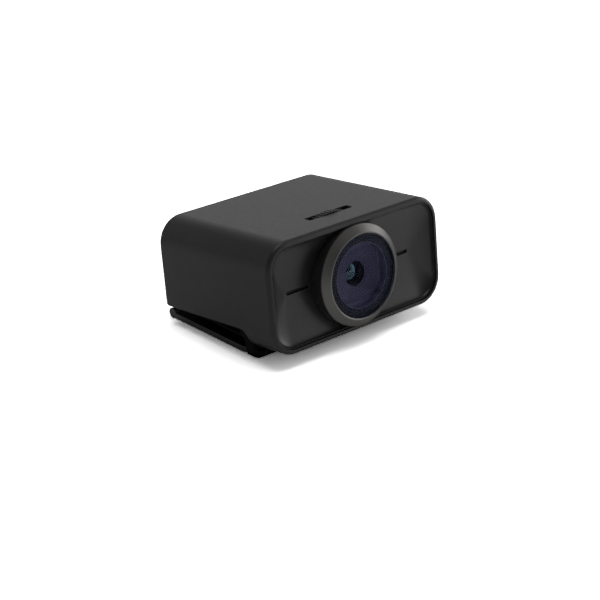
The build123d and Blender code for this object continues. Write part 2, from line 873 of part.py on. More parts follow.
processor_depth = 48.0
processor_height = 1.5
pad_height = 1.0

with BuildPart() as processor:
    add(block_on_board(17, 17, processor_height, 0, processor_depth))

processor.part.label = "processor"
export_step(processor.part, "parts/processor.step")

with BuildPart() as memory_chip:
    add(block_on_board(8, 12, 1.0, -18, 42))

memory_chip.part.label = "memory_chip"
export_step(memory_chip.part, "parts/memory_chip.step")

with BuildPart() as audio_chip:
    add(block_on_board(6, 6, 0.9, 20, 44))

audio_chip.part.label = "audio_chip"
export_step(audio_chip.part, "parts/audio_chip.step")

with BuildPart() as thermal_pad:
    add(block_on_board(16, 16, pad_height, 0, processor_depth, board_top + processor_height))

thermal_pad.part.label = "thermal_pad"
export_step(thermal_pad.part, "parts/thermal_pad.step")

sink_bottom = board_top + processor_height + pad_height
sink_width = 30.0
sink_length = 26.0
fin_count = 9

with BuildPart() as heat_sink:
    with BuildSketch(level(sink_bottom)):
        with Locations((0, processor_depth)):
            Rectangle(sink_width, sink_length)
    extrude(amount=1.8)
    with BuildSketch(level(sink_bottom)):
        with Locations((0, processor_depth)):
            with GridLocations((sink_width - 1.2) / (fin_count - 1), 0, fin_count, 1):
                Rectangle(1.2, sink_length)
    extrude(amount=10)

heat_sink.part.label = "heat_sink"
export_step(heat_sink.part, "parts/heat_sink.step")

port_front = 67.0
port_back = sleeve_length + 1.3

with BuildPart() as usb_c_port:
    with BuildSketch(across(port_back, port_centre)):
        SlotOverall(port_width, port_height)
    extrude(amount=port_back - port_front)
    with BuildSketch(across(port_back, port_centre)):
        SlotOverall(port_width - 0.6, port_height - 0.6)
        SlotOverall(6.8, 0.75, mode=Mode.SUBTRACT)
    extrude(amount=6, mode=Mode.SUBTRACT)

usb_c_port.part.label = "usb_c_port"
export_step(usb_c_port.part, "parts/usb_c_port.step")

flex_sheet = 0.3

with BuildPart() as sensor_flex:
    with BuildSketch(beside()):
        with BuildLine():
            Polyline(
                (sensor_board_back + 0.02, flex_height + 2),
                (sensor_board_back + 0.02 + flex_sheet, flex_height + 2),
                (sensor_board_back + 0.02 + flex_sheet, flex_height + flex_sheet),
                (30.5, flex_height + flex_sheet),
                (33.5, board_top + 0.02 + flex_sheet),
                (37.5, board_top + 0.02 + flex_sheet),
                (37.5, board_top + 0.02),
                (33.3, board_top + 0.02),
                (30.3, flex_height),
                (sensor_board_back + 0.02, flex_height),
                close=True,
            )
        make_face()
    extrude(amount=flex_width / 2, both=True)

sensor_flex.part.label = "sensor_flex"
export_step(sensor_flex.part, "parts/sensor_flex.step")

# Microphones behind the two slots of the front panel
mic_x = (slot_inner + slot_outer) / 2 + 0.8
gasket_front = valley_depth + panel_skin + 0.05
gasket_back = gasket_front + 1.0
mic_board_back = gasket_back + 1.0


def mic_block(side, width, height, front, back, opening=False):
    """Flat piece behind a microphone slot."""
    with BuildPart() as block:
        with BuildSketch(on_lens(back)):
            with Locations((side * mic_x, 0)):
                RectangleRounded(width, height, 1)
            if opening:
                with Locations((side * mic_x, 0)):
                    SlotOverall(10.5, slot_width + 0.4, mode=Mode.SUBTRACT)
        extrude(amount=back - front)
    return block.part


with BuildPart() as mic_gasket_left:
    add(mic_block(-1, 12.6, 5, gasket_front, gasket_back, opening=True))

mic_gasket_left.part.label = "mic_gasket_left"
export_step(mic_gasket_left.part, "parts/mic_gasket_left.step")

with BuildPart() as mic_gasket_right:
    add(mic_block(1, 12.6, 5, gasket_front, gasket_back, opening=True))

mic_gasket_right.part.label = "mic_gasket_right"
export_step(mic_gasket_right.part, "parts/mic_gasket_right.step")

with BuildPart() as mic_board_left:
    add(mic_block(-1, 13.0, 7, gasket_back, mic_board_back))

mic_board_left.part.label = "mic_board_left"
export_step(mic_board_left.part, "parts/mic_board_left.step")

with BuildPart() as mic_board_right:
    add(mic_block(1, 13.0, 7, gasket_back, mic_board_back))

mic_board_right.part.label = "mic_board_right"
export_step(mic_board_right.part, "parts/mic_board_right.step")


def mic_mesh(side):
    """Acoustic mesh strip lying in a microphone slot."""
    with BuildPart() as strip:
        with BuildSketch(on_lens(valley_depth + 1.3)):
            with Locations((side * (slot_inner + slot_outer) / 2, 0)):
                SlotOverall(slot_outer - slot_inner - 0.1, slot_width - 0.1)
        extrude(amount=0.4)
    return strip.part


with BuildPart() as mic_mesh_left:
    add(mic_mesh(-1))

mic_mesh_left.part.label = "mic_mesh_left"
export_step(mic_mesh_left.part, "parts/mic_mesh_left.step")

with BuildPart() as mic_mesh_right:
    add(mic_mesh(1))

mic_mesh_right.part.label = "mic_mesh_right"
export_step(mic_mesh_right.part, "parts/mic_mesh_right.step")


# ------------------------------------------------------------------ tilt hinge
tilt_pin = 1.2
pin_fit = 0.01
bracket_bottom = floor_top + 0.05
bracket_sheet = 1.4
bracket_front = tilt_depth - 9.0
bracket_back = sleeve_length - 1.5
lug_centre = (lug_inner + lug_outer) / 2
lug_half = (lug_outer - lug_inner) / 2

with BuildPart() as tilt_bracket:
    with BuildSketch(level(bracket_bottom)):
        with Locations((0, (bracket_front + bracket_back) / 2)):
            RectangleRounded(40, bracket_back - bracket_front, 2)
        with Locations(*bracket_screws_at):
            Circle(0.95, mode=Mode.SUBTRACT)
    extrude(amount=bracket_sheet)
    for x in (-lug_centre, lug_centre):
        with BuildSketch(beside(x)):
            with Locations((tilt_depth, tilt_height)):
                Circle(tilt_knuckle)
            with Locations((tilt_depth, (tilt_height + bracket_bottom + bracket_sheet) / 2)):
                Rectangle(2 * tilt_knuckle, bracket_bottom + bracket_sheet - tilt_height)
        extrude(amount=lug_half, both=True)
    with BuildSketch(beside()):
        with Locations((tilt_depth, tilt_height)):
            Circle(tilt_pin + running_gap)
    extrude(amount=30, both=True, mode=Mode.SUBTRACT)

tilt_bracket.part.label = "tilt_bracket"
export_step(tilt_bracket.part, "parts/tilt_bracket.step")

with BuildPart() as tilt_bracket_screws:
    add(screw(level(bracket_bottom + bracket_sheet), bracket_screws_at, 0.9, 2.8, head_radius=1.6))

tilt_bracket_screws.part.label = "tilt_bracket_screws"
export_step(tilt_bracket_screws.part, "parts/tilt_bracket_screws.step")

tilt_ear = 3.0
washer_gap = 0.4
washer_slack = 0.05
ear_outer = lug_outer + washer_gap + tilt_ear

with BuildPart() as tilt_hinge_pin:
    with BuildSketch(beside()):
        with Locations((tilt_depth, tilt_height)):
            Circle(tilt_pin)
    extrude(amount=ear_outer, both=True)

tilt_hinge_pin.part.label = "tilt_hinge_pin"
export_step(tilt_hinge_pin.part, "parts/tilt_hinge_pin.step")


def hinge_washers(centre, faces, outer_radius, pin_radius):
    """Friction washers in the gaps of a hinge; faces lists each gap's inner side."""
    with BuildPart() as washers:
        for x in faces:
            with BuildSketch(beside(x + washer_slack)):
                with Locations(centre):
                    Circle(outer_radius)
                    Circle(pin_radius, mode=Mode.SUBTRACT)
            extrude(amount=washer_gap - 2 * washer_slack)
    return washers.part


tilt_gaps = (-lug_outer - washer_gap, -lug_inner, lug_inner - washer_gap, lug_outer)

with BuildPart() as tilt_washers:
    add(hinge_washers((tilt_depth, tilt_height), tilt_gaps, tilt_knuckle - 0.3, tilt_pin + pin_fit))

tilt_washers.part.label = "tilt_washers"
export_step(tilt_washers.part, "parts/tilt_washers.step")


# ------------------------------------------------------------------------ clip
lip_gap = 0.9
lip_front = chin_depth + lip_gap
lip_back = 25.6
arm_inner = 28.0
arm_outer = 38.0
arm_notch = 26.0
toe_reach = 2.4
toe_corner = 4.0
plate_back = tilt_depth - 1.7


def leg_underside_height(depth):
    """Height of the leg's underside plane at a depth."""
    return (depth + front_y) * tan(radians(clip_slope)) - chin_z


with BuildPart() as mount_base:
    # Plate and the hooked lip in front of it, as one side profile
    with BuildSketch(beside()):
        with BuildLine():
            Polyline(
                (plate_back, base_top),
                (24.5, base_top),
                (lip_front + 0.4, base_top - 2.4),
                (lip_front, 0.6),
                (lip_front - 0.7, -0.4),
                (chin_depth - toe_reach + 1.4, -0.8),
                (chin_depth - toe_reach + 0.2, -1.3),
                (chin_depth - toe_reach, -2.4),
                (chin_depth - toe_reach + 1.2, leg_underside_height(chin_depth - toe_reach + 1.2)),
                (lip_back, leg_underside_height(lip_back)),
                (lip_back + 1.0, 2.6),
                (lip_back + 4.4, base_bottom),
                (plate_back, base_bottom),
                close=True,
            )
        make_face()
    extrude(amount=base_half_width, both=True)
    fillet(mount_base.faces().filter_by(Axis.X).edges().filter_by(Axis.Y), 0.5)
    # Cut-away behind the plate between the tilt ears and the arms
    for x in (-lug_centre, lug_centre):
        with BuildSketch(level(base_bottom)):
            with Locations((x, tilt_depth)):
                Rectangle(2 * (lug_half + washer_gap), 2 * tilt_knuckle + 3)
        extrude(amount=5, mode=Mode.SUBTRACT)
    # Tilt ears
    for x in (lug_inner - washer_gap - tilt_ear / 2, lug_outer + washer_gap + tilt_ear / 2):
        for side in (-1, 1):
            with BuildSketch(beside(side * x)):
                with Locations((tilt_depth, tilt_height)):
                    Circle(tilt_knuckle)
                with Locations((tilt_depth - 2.5, (base_top + base_bottom) / 2)):
                    Rectangle(5, base_top - base_bottom)
            extrude(amount=tilt_ear / 2, both=True)
    # Arms down to the fold hinge
    for side in (-1, 1):
        with BuildSketch(beside(side * (arm_inner + arm_outer) / 2)):
            with BuildLine():
                Polyline(
                    (plate_back - 3.8, base_top),
                    (plate_back, base_top - 0.3),
                    (plate_back + 8.2, 7.1),
                    (fold_depth, fold_height + knuckle),
                    (fold_depth, fold_height),
                    (fold_depth - 3.6, fold_height + 0.9),
                    (plate_back - 1.8, base_bottom),
                    (plate_back - 3.8, base_bottom),
                    close=True,
                )
            make_face()
            with Locations((fold_depth, fold_height)):
                Circle(knuckle)
        extrude(amount=(arm_outer - arm_inner) / 2, both=True)
    with BuildSketch(beside()):
        with Locations((tilt_depth, tilt_height)):
            Circle(tilt_pin + pin_fit)
        with Locations((fold_depth, fold_height)):
            Circle(hinge_pin + pin_fit)
    extrude(amount=head_width / 2, both=True, mode=Mode.SUBTRACT)
    # Rounded front corners
    with BuildSketch(level(0)):
        with Locations((0, chin_depth - toe_reach + plate_back)):
            RectangleRounded(2 * base_half_width, 2 * plate_back, toe_corner)
    extrude(amount=head_height, both=True, mode=Mode.INTERSECT)

mount_base.part.label = "mount_base"
export_step(mount_base.part, "parts/mount_base.step")

base_pad_thickness = 1.2

with BuildPart() as base_pad:
    with BuildSketch(level(base_bottom - base_pad_thickness)):
        with Locations((0, 47.0)):
            RectangleRounded(2 * base_half_width - 8, 30, 3)
    extrude(amount=base_pad_thickness)

base_pad.part.label = "base_pad"
export_step(base_pad.part, "parts/base_pad.step")

insert_radius = 4.6
thread_radius = 3.175
thread_length = 5.0
boss_radius = 7.0
boss_top = 5.5

leg_normal = Axis((0, 0, 0), leg_plane.z_dir)
leg_corner = 2.0
leg_edge_round = 0.6

with BuildPart() as mount_leg:
    with BuildSketch(leg_plane) as leg_plan:
        with Locations((0, (leg_front + hinge_along) / 2)):
            Rectangle(2 * leg_half_width, hinge_along - leg_front)
        fillet(leg_plan.vertices().group_by(Axis.Y)[0], leg_corner)
    extrude(amount=leg_thickness)
    back_edge = front_y + fold_depth - 1
    flat_edges = mount_leg.edges().filter_by(leg_normal, reverse=True)
    fillet(flat_edges.filter_by_position(Axis.Y, front_y, back_edge), leg_edge_round)
    with BuildSketch(leg_side()):
        with Locations((hinge_along, knuckle)):
            Circle(knuckle)
    extrude(amount=leg_half_width, both=True)
    # Room for the base's arms
    for side in (-1, 1):
        with BuildSketch(leg_plane.offset(-1)):
            with Locations((side * (arm_inner + arm_outer) / 2, (arm_notch + hinge_along + 5) / 2)):
                Rectangle(arm_outer - arm_inner + 2 * washer_gap, hinge_along + 5 - arm_notch)
        extrude(amount=10, mode=Mode.SUBTRACT)
    # Boss round the tripod insert
    with BuildSketch(leg_plane):
        Circle(boss_radius)
    extrude(amount=boss_top)
    with BuildSketch(leg_plane):
        Circle(insert_radius)
    extrude(amount=boss_top, mode=Mode.SUBTRACT)
    # Bore for the hinge pin, stopping short of the leg's ends
    with BuildSketch(leg_side()):
        with Locations((hinge_along, knuckle)):
            Circle(hinge_pin + running_gap)
    extrude(amount=leg_half_width - 3.0, both=True, mode=Mode.SUBTRACT)

mount_leg.part.label = "mount_leg"
export_step(mount_leg.part, "parts/mount_leg.step")

insert_turn = Location((0, 0, 0), (0, 0, 10))

with BuildPart() as tripod_insert:
    with BuildSketch(leg_plane):
        with Locations(insert_turn):
            Circle(insert_radius - 0.02)
    extrude(amount=boss_top)
    with BuildSketch(leg_plane):
        with Locations(insert_turn):
            Circle(thread_radius)
    extrude(amount=thread_length, mode=Mode.SUBTRACT)

tripod_insert.part.label = "tripod_insert"
export_step(tripod_insert.part, "parts/tripod_insert.step")

leg_pad_thickness = 0.9

with BuildPart() as leg_pad:
    with BuildSketch(leg_plane.offset(leg_thickness)):
        RectangleRounded(2 * leg_half_width - 12, 34, 3)
        Circle(boss_radius + 0.5, mode=Mode.SUBTRACT)
    extrude(amount=leg_pad_thickness)

leg_pad.part.label = "leg_pad"
export_step(leg_pad.part, "parts/leg_pad.step")

with BuildPart() as leg_hinge_pin:
    with BuildSketch(beside()):
        with Locations((fold_depth, fold_height)):
            Circle(hinge_pin)
    extrude(amount=leg_half_width - 3.1, both=True)

leg_hinge_pin.part.label = "leg_hinge_pin"
export_step(leg_hinge_pin.part, "parts/leg_hinge_pin.step")

fold_gaps = (-arm_outer - washer_gap, -arm_inner, arm_inner - washer_gap, arm_outer)

with BuildPart() as fold_washers:
    add(hinge_washers((fold_depth, fold_height), fold_gaps, knuckle - 0.3, hinge_pin + pin_fit))

fold_washers.part.label = "fold_washers"
export_step(fold_washers.part, "parts/fold_washers.step")
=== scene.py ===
import json
import math
import bmesh
import bpy
from mathutils import Matrix, Vector


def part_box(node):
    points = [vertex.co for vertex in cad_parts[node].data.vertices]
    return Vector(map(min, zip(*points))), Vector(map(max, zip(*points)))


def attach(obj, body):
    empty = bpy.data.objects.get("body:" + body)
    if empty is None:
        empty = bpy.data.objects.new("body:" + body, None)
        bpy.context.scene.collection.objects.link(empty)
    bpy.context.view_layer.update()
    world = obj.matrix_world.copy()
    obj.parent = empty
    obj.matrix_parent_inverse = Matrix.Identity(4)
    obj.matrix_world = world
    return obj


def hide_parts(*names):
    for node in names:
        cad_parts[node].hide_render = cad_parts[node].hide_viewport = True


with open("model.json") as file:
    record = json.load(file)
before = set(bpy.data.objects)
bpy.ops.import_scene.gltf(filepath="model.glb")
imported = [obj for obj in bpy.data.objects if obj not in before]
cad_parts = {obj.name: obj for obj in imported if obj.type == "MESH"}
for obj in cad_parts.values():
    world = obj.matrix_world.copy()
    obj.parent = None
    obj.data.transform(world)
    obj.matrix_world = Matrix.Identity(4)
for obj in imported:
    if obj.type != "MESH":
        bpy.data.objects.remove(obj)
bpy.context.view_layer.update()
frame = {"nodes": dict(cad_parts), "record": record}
scene = bpy.context.scene
nodes = frame["nodes"]
record = frame["record"]
MM = 0.001
lens_low, lens_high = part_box("lens_ring")
lens_x = (lens_low[0] + lens_high[0]) / 2
lens_z = (lens_low[2] + lens_high[2]) / 2
hood_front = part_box("lens_hood")[0][1]


# ---------------------------------------------------------------- material kit
class Tree:
    """A short way to write a material's node tree."""

    def __init__(self, name):
        self.material = bpy.data.materials.new(name)
        self.material.use_nodes = True
        self.tree = self.material.node_tree
        self.tree.nodes.clear()
        self.out = self.node("ShaderNodeOutputMaterial")
        self.place = self.node("ShaderNodeTexCoord").outputs["Object"]

    def node(self, kind, **settings):
        made = self.tree.nodes.new(kind)
        for key, value in settings.items():
            setattr(made, key, value)
        return made

    def put(self, made, **inputs):
        """Fills inputs by name, or by number as i0, i1; a socket is linked and a value is set."""
        for key, value in inputs.items():
            numbered = key[0] == "i" and key[1:].isdigit()
            socket = made.inputs[int(key[1:]) if numbered else key.replace("_", " ")]
            if isinstance(value, bpy.types.NodeSocket):
                self.tree.links.new(value, socket)
            else:
                socket.default_value = value
        return made

    def noise(self, size, detail=3.0, stretch=(1, 1, 1)):
        """Noise whose grains are about size metres wide."""
        mapped = self.put(self.node("ShaderNodeMapping"), Vector=self.place, Scale=stretch)
        made = self.put(self.node("ShaderNodeTexNoise"), Vector=mapped.outputs[0],
                        Scale=1 / size, Detail=detail, Roughness=0.55)
        return made.outputs["Fac"]

    def span(self, value, low, high, from_low=0.3, from_high=0.7):
        """value, from from_low..from_high, spread over low..high."""
        made = self.put(self.node("ShaderNodeMapRange"), Value=value, From_Min=from_low,
                        From_Max=from_high, To_Min=low, To_Max=high)
        return made.outputs[0]

    def mix(self, factor, a, b):
        made = self.put(self.node("ShaderNodeMix", data_type="RGBA"), i0=factor, i6=a, i7=b)
        return made.outputs[2]

    def maths(self, operation, a, b=0.0):
        return self.put(self.node("ShaderNodeMath", operation=operation), i0=a, i1=b).outputs[0]

    def dot(self, a, b):
        made = self.node("ShaderNodeVectorMath", operation="DOT_PRODUCT")
        return self.put(made, i0=a, i1=b).outputs["Value"]

    def smooth(self, value, low, high):
        """0 to 1, eased at both ends, as value goes from low to high."""
        made = self.node("ShaderNodeMapRange", interpolation_type="SMOOTHSTEP")
        return self.put(made, Value=value, From_Min=low, From_Max=high).outputs[0]

    def bump(self, height, depth):
        """A normal raised by height (0 to 1) times depth metres."""
        made = self.node("ShaderNodeBump")
        return self.put(made, Height=height, Distance=depth, Strength=1.0).outputs[0]

    def edges(self, radius):
        """1 on sharp edges within radius, 0 on flat faces."""
        soft = self.put(self.node("ShaderNodeBevel", samples=4), Radius=radius).outputs[0]
        flat = self.node("ShaderNodeNewGeometry").outputs["Normal"]
        return self.span(self.dot(soft, flat), 1.0, 0.0, 0.86, 0.995)

    def surface(self, **inputs):
        made = self.put(self.node("ShaderNodeBsdfPrincipled"), **inputs)
        self.tree.links.new(made.outputs[0], self.out.inputs[0])
        return self.material


def rgb(value, tint=(1.0, 1.0, 1.0)):
    return tuple(value * t for t in tint) + (1.0,)


def moulded(name, tone, rough, grain, depth, tint=(1, 1, 1), edge=1.5, **more):
    """Moulded plastic with spark-eroded grain, handling marks and slightly polished edges."""
    t = Tree(name)
    fine = t.noise(grain * MM, 4.0)
    broad = t.noise(14 * MM, 2.0)
    rub = t.noise(3.5 * MM, 5.0, (1, 2.6, 1))
    worn = t.edges(0.35 * MM)
    colour = t.mix(t.span(broad, 0.0, 1.0), rgb(tone * 0.92, tint), rgb(tone * 1.08, tint))
    colour = t.mix(t.maths("MULTIPLY", worn, 0.55), colour, rgb(tone * edge, tint))
    roughness = t.maths("ADD", t.span(rub, rough - 0.03, rough + 0.03),
                        t.maths("MULTIPLY", worn, -0.06))
    return t.surface(Base_Color=colour, Roughness=roughness, Normal=t.bump(fine, depth * MM), **more)


def paint(name, tone, rough, size, tint=(1, 1, 1), depth=0.004, stretch=(1, 1, 1), **more):
    """A finish with drifting tone and roughness, fine relief and lighter edges."""
    t = Tree(name)
    fine = t.noise(size * MM, 4.0, stretch)
    broad = t.noise(size * 20 * MM, 2.0)
    worn = t.edges(0.25 * MM)
    colour = t.mix(t.span(broad, 0.0, 1.0), rgb(tone * 0.875, tint), rgb(tone * 1.125, tint))
    colour = t.mix(t.maths("MULTIPLY", worn, 0.5), colour, rgb(tone * 1.3, tint))
    return t.surface(Base_Color=colour, Roughness=t.span(fine, rough - 0.05, rough + 0.05),
                     Normal=t.bump(fine, depth * MM), **more)


def from_lens_axis(t):
    """Distance from the lens axis, in metres."""
    apart = t.node("ShaderNodeSeparateXYZ")
    t.put(apart, Vector=t.place)
    across = t.maths("SUBTRACT", apart.outputs["X"], lens_x)
    rise = t.maths("SUBTRACT", apart.outputs["Z"], lens_z)
    squares = [t.maths("MULTIPLY", side, side) for side in (across, rise)]
    return t.maths("SQRT", t.maths("ADD", *squares))


def optic_glass(name, coat, strength, clear_tint):
    """Coated glass: clear, with faint smears and a tinted reflection on its outer faces only."""
    t = Tree(name)
    smear = t.span(t.noise(5 * MM, 3.0), 0.03, 0.09)
    shine = t.put(t.node("ShaderNodeBsdfGlossy"), Color=coat, Roughness=smear)
    clear = t.put(t.node("ShaderNodeBsdfTransparent"), Color=clear_tint)
    facing = t.put(t.node("ShaderNodeFresnel"), IOR=1.45).outputs[0]
    behind = t.node("ShaderNodeNewGeometry").outputs["Backfacing"]
    outside = t.maths("SUBTRACT", strength, t.maths("MULTIPLY", behind, strength))
    both = t.put(t.node("ShaderNodeMixShader"), Fac=t.maths("MULTIPLY", facing, outside))
    t.tree.links.new(clear.outputs[0], both.inputs[1])
    t.tree.links.new(shine.outputs[0], both.inputs[2])
    t.tree.links.new(both.outputs[0], t.out.inputs[0])
    return t.material


# Size and squareness of the painted violet reflection inside the hood.
FLARE_HALF = 12.5 * MM
FLARE_SQUARENESS = 5.0


def baffle():
    """Navy border round the glass; inside it a violet satin area that is a painted reflection of the
    lens coating, with a lighter squarish rim (painted highlight) and painted streaks of sheen.
    """
    t = Tree("hood")
    radius = from_lens_axis(t)
    apart = t.put(t.node("ShaderNodeSeparateXYZ"), Vector=t.place)
    depth = t.maths("SUBTRACT", apart.outputs["Y"], hood_front)
    border = t.span(radius, 0.0, 1.0, 15.1 * MM, 15.3 * MM)
    powers = []
    for axis, centre in (("X", lens_x), ("Z", lens_z)):
        aside = t.maths("SUBTRACT", apart.outputs[axis], centre)
        share = t.maths("ABSOLUTE", t.maths("MULTIPLY", aside, 1 / FLARE_HALF))
        powers.append(t.maths("POWER", share, FLARE_SQUARENESS))
    square = t.maths("POWER", t.maths("ADD", *powers), 1 / FLARE_SQUARENESS)
    # Lighter squarish rim of the violet area: a painted highlight.
    rim = t.maths("MULTIPLY", t.span(square, 0.0, 1.0, 0.97, 1.0), t.span(square, 1.0, 0.6, 1.0, 1.12))
    # Darker deeper into the hood: painted shade.
    shade = t.span(depth, 1.0, 0.55, 0.5 * MM, 4.2 * MM)
    violet = t.mix(rim, rgb(0.060, (0.95, 0.95, 1.9)), rgb(0.125, (0.95, 0.95, 1.55)))
    violet = t.mix(shade, rgb(0.03, (0.9, 0.9, 1.8)), violet)
    # Streaks of lighter pink-violet: painted sheen.
    sheen = t.noise(6 * MM, 2.0, (1, 1, 3))
    violet = t.mix(t.span(sheen, 0.0, 0.35), violet, rgb(0.06, (1.15, 0.9, 1.6)))
    colour = t.mix(border, violet, rgb(0.010, (0.7, 1.0, 1.7)))
    grain = t.noise(0.2 * MM)
    return t.surface(Base_Color=colour, Roughness=t.mix(border, rgb(0.42), rgb(0.3)),
                     Specular_IOR_Level=0.12, Normal=t.bump(grain, 0.003 * MM))


def leg_plastic():
    """Satin plastic outside; faces turned upwards, toward the screen and into the gap under the head,
    are near-black and dull: partly a soft-touch coat, partly painted shade.
    """
    t = Tree("clip")
    normal = t.node("ShaderNodeNewGeometry").outputs["Normal"]
    facing = t.put(t.node("ShaderNodeSeparateXYZ"), Vector=normal)
    # Faces turned upwards go near-black: partly the soft-touch coat, partly painted shade of the gap
    # under the head.
    inner = t.span(facing.outputs["Z"], 0.0, 1.0, 0.4, 0.7)
    worn = t.maths("MULTIPLY", t.edges(0.4 * MM), t.maths("SUBTRACT", 1.0, inner))
    outside = t.mix(t.span(t.noise(12 * MM), 0.0, 1.0), rgb(0.044), rgb(0.052))
    outside = t.mix(t.maths("MULTIPLY", worn, 0.5), outside, rgb(0.075))
    colour = t.mix(inner, outside, rgb(0.004))
    grain = t.noise(0.25 * MM, 4.0)
    return t.surface(Base_Color=colour, Roughness=t.mix(inner, rgb(0.42), rgb(0.85)),
                     Specular_IOR_Level=t.span(inner, 0.5, 0.05, 0.0, 1.0),
                     Normal=t.bump(grain, 0.006 * MM))


materials = {
    "shell": moulded("shell", 0.022, 0.40, 0.22, 0.006),
    "panel": moulded("panel", 0.020, 0.32, 0.30, 0.002, edge=1.2, Specular_IOR_Level=0.6),
    "ring": moulded("ring", 0.17, 0.40, 0.20, 0.004, (1.02, 1.0, 0.97), edge=1.2, Metallic=0.8),
    "hood": baffle(),
    "lens_black": moulded("lens_black", 0.012, 0.45, 0.20, 0.004, (1.0, 0.95, 1.6)),
    "wheel": moulded("wheel", 0.020, 0.36, 0.20, 0.004),
    "clip": leg_plastic(),
    # Near-black and dull: partly a soft-touch finish, partly painted shade for the mount sitting in
    # shadow under the head.
    "grip": moulded("grip", 0.006, 0.72, 0.30, 0.015, Specular_IOR_Level=0.15),
    "rubber": paint("rubber", 0.014, 0.8, 0.3, depth=0.02),
    "steel": paint("steel", 0.55, 0.28, 0.15, stretch=(6, 1, 1), Metallic=1.0),
    "black_steel": paint("black_steel", 0.03, 0.35, 0.15, Metallic=0.6),
    "cast": paint("cast", 0.35, 0.45, 0.3, depth=0.01, Metallic=0.9),
    "brass": paint("brass", 0.7, 0.3, 0.2, (1.0, 0.75, 0.4), Metallic=1.0),
    "board": paint("board", 0.05, 0.4, 0.4, (0.3, 1.0, 0.5)),
    "chip": paint("chip", 0.02, 0.5, 0.1),
    "sensor": paint("sensor", 0.08, 0.15, 0.5, (0.7, 0.8, 1.2)),
    "flex": paint("flex", 0.3, 0.4, 0.5, (1.0, 0.5, 0.15)),
    "mesh": paint("mesh", 0.006, 0.7, 0.35, depth=0.08),
    "optic_glass": optic_glass("optic_glass", (0.6, 0.65, 1.0, 1), 0.22, (0.97, 0.97, 1.0, 1)),
}
for part in record["subparts"]:
    skin = nodes[part["node"]].data.materials
    skin.clear()
    skin.append(materials[part["material_slot"]])
front_element = optic_glass("front_element", (0.5, 0.85, 1.0, 1), 2.2, (0.3, 0.35, 0.6, 1))
nodes["front_lens"].data.materials[0] = front_element


# ---------------------------------------------------------------- mesh kit
SHARP_FROM = math.radians(32)
MERGE = 0.0005 * MM
CUT_MERGE = 0.01 * MM


def piece(name, mesh, body, slot, *stands_for):
    """Puts a finished mesh in the scene on a body, in place of the CAD nodes named."""
    made = bpy.data.objects.new(name, mesh)
    scene.collection.objects.link(made)
    mesh.materials.append(materials[slot])
    mesh.polygons.foreach_set("use_smooth", [True] * len(mesh.polygons))
    mesh.set_sharp_from_angle(angle=SHARP_FROM)
    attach(made, body)
    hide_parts(*stands_for)


def mesh_of(bm, name):
    """Turns a bmesh into a mesh with outward normals."""
    bmesh.ops.remove_doubles(bm, verts=bm.verts, dist=MERGE)
    bmesh.ops.recalc_face_normals(bm, faces=bm.faces)
    mesh = bpy.data.meshes.new(name)
    bm.to_mesh(mesh)
    bm.free()
    return mesh


def bridge(bm, rows):
    """Quads between closed loops of vertices, all of the same length."""
    for near, far in zip(rows, rows[1:]):
        count = len(near)
        for i in range(count):
            j = (i + 1) % count
            bm.faces.new((near[i], near[j], far[j], far[i]))


def cut(mesh, cutter):
    """mesh with cutter taken away."""
    solid = bpy.data.objects.new("solid", mesh)
    tool = bpy.data.objects.new("tool", cutter)
    for made in (solid, tool):
        scene.collection.objects.link(made)
    change = solid.modifiers.new("cut", "BOOLEAN")
    change.object = tool
    change.solver = "EXACT"
    bpy.context.view_layer.update()
    cut_solid = solid.evaluated_get(bpy.context.evaluated_depsgraph_get())
    result = bpy.data.meshes.new_from_object(cut_solid)
    for made in (solid, tool):
        bpy.data.objects.remove(made)
    bm = bmesh.new()
    bm.from_mesh(result)
    bmesh.ops.remove_doubles(bm, verts=bm.verts, dist=CUT_MERGE)
    bmesh.ops.dissolve_degenerate(bm, edges=bm.edges, dist=CUT_MERGE)
    bm.to_mesh(result)
    bm.free()
    return result


# ---------------------------------------------------------------- front panel
DISH_EDGE = 0.6 * MM
DISH_CORNER = 9.35 * MM
DISH_POWER = 0.42
VALLEY = (75 * MM, 1.8 * MM)
BORDER_DEPTH = 1.0 * MM
VALLEY_DEPTH = 6.4 * MM
SKIN = 1.7 * MM
TURRET = 23.3 * MM
TURRET_BORE = 21.65 * MM
TURRET_TOP = -0.9 * MM
TURRET_BACK = 12.9 * MM
TURRET_ROUND = 0.2 * MM
TURRET_CHAMFER = 0.06 * MM
FLANK = 5.2 * MM
BACK_INSET = 1.2 * MM
CLEARANCE = 0.02 * MM
BORDER_ROUND = 0.15 * MM
SLOT = (24.0 * MM, 37.0 * MM, 1.7 * MM)
SLOT_TOOL_DEPTHS = (2 * MM, 14 * MM)
AROUND = 256
SIDE_CROWDING = 0.55
FRONT_ROWS = 22
BACK_ROWS = 8
RIM_CROWDING = 1.4
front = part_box("body_sleeve")[0][1]
panel_low, panel_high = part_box("front_panel")


def rounded_gap(x, z, half_x, half_z, corner):
    """How far a point lies outside a rounded rectangle; negative inside."""
    dx, dz = abs(x) - half_x + corner, abs(z) - half_z + corner
    return math.hypot(max(dx, 0), max(dz, 0)) + min(max(dx, dz), 0) - corner


def dish_share(x, z, half_x, half_z):
    """0 on the dish's edge, 1 on its valley line."""
    low, high = 0.0, 1.0
    for _ in range(22):
        share = (low + high) / 2
        wide = half_x + (VALLEY[0] / 2 - half_x) * share
        high_by = half_z + (VALLEY[1] / 2 - half_z) * share
        corner = DISH_CORNER + (VALLEY[1] / 2 - DISH_CORNER) * share
        if rounded_gap(x, z, wide, high_by, corner) < 0:
            low = share
        else:
            high = share
    return low


def dish_depth(x, z, half_x, half_z):
    share = dish_share(x, z, half_x, half_z)
    return BORDER_DEPTH + (VALLEY_DEPTH - BORDER_DEPTH) * share ** DISH_POWER


